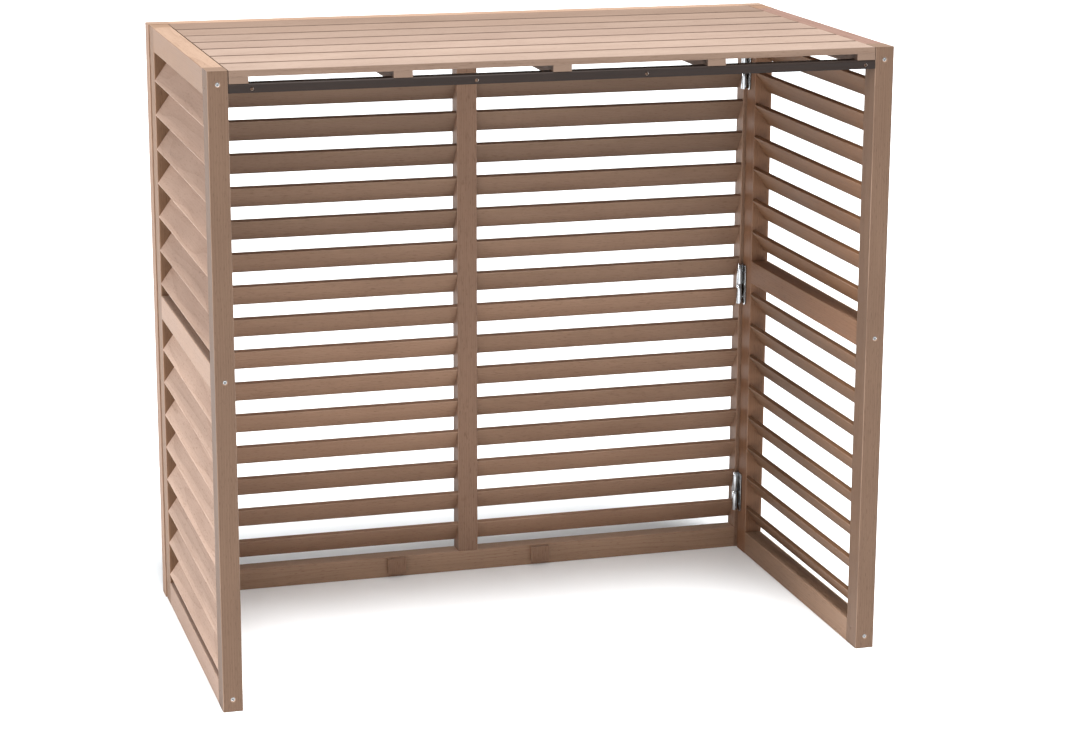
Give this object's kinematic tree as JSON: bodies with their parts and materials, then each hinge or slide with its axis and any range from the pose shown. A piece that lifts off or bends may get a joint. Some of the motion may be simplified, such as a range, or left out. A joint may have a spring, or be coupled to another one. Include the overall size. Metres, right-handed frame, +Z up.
{
  "type": "air conditioner cover",
  "caption": "Free-standing slatted wooden cover for an outdoor air conditioner, open at the front, with hinged louvred sides, a louvred back, a steel front bar and a lift-out slatted lid.",
  "frame": {"origin": "on the ground, at the middle of the footprint (bottom centre of the bounding box)", "axes": "+X to the right seen from the open side, +Y from the open side to the louvred back panel, +Z up"},
  "size_m": [0.983, 0.543, 0.9],
  "materials": {
    "frame_wood": "matt semi-opaque stain on planed softwood",
    "louvre_wood": "matt semi-opaque stain on planed softwood",
    "lid_wood": "matt semi-opaque stain on planed softwood",
    "bar_paint": "dark charcoal satin powder coat",
    "zinc": "bright zinc plate"
  },
  "bodies": {
    "cover": {"left_front_stile": "frame_wood", "left_rear_stile": "frame_wood", "left_top_rail": "frame_wood", "left_mid_rail": "frame_wood", "left_bottom_rail": "frame_wood", "left_upper_louvres": "louvre_wood", "left_lower_louvres": "louvre_wood", "left_frame_screws": "zinc", "left_frame_pins": "zinc", "left_hinge_fixed_leaves": "zinc", "left_hinge_moving_leaves": "zinc", "left_hinge_pins": "zinc", "left_hinge_screws": "zinc", "right_front_stile": "frame_wood", "right_rear_stile": "frame_wood", "right_top_rail": "frame_wood", "right_mid_rail": "frame_wood", "right_bottom_rail": "frame_wood", "right_upper_louvres": "louvre_wood", "right_lower_louvres": "louvre_wood", "right_frame_screws": "zinc", "right_frame_pins": "zinc", "right_hinge_fixed_leaves": "zinc", "right_hinge_moving_leaves": "zinc", "right_hinge_pins": "zinc", "right_hinge_screws": "zinc", "back_left_stile": "frame_wood", "back_right_stile": "frame_wood", "back_centre_stile": "frame_wood", "back_top_rail": "frame_wood", "back_bottom_rail": "frame_wood", "back_lid_ledge": "frame_wood", "back_spacer_blocks": "frame_wood", "back_left_louvres": "louvre_wood", "back_right_louvres": "louvre_wood", "back_ledge_screws": "zinc", "support_bar": "bar_paint", "support_bar_screws": "zinc"},
    "lid": {"lid_slat_1": "lid_wood", "lid_slat_2": "lid_wood", "lid_slat_3": "lid_wood", "lid_slat_4": "lid_wood", "lid_slat_5": "lid_wood", "lid_slat_6": "lid_wood", "lid_slat_7": "lid_wood", "lid_batten_1": "lid_wood", "lid_batten_2": "lid_wood", "lid_batten_3": "lid_wood", "lid_batten_4": "lid_wood", "lid_batten_5": "lid_wood", "lid_screws": "zinc"}
  },
  "joints": [
    {"name": "lid_lift", "type": "slide", "parent": "cover", "child": "lid", "axis": [0, 0, 1], "range_m": [0, 0.15]}
  ]
}
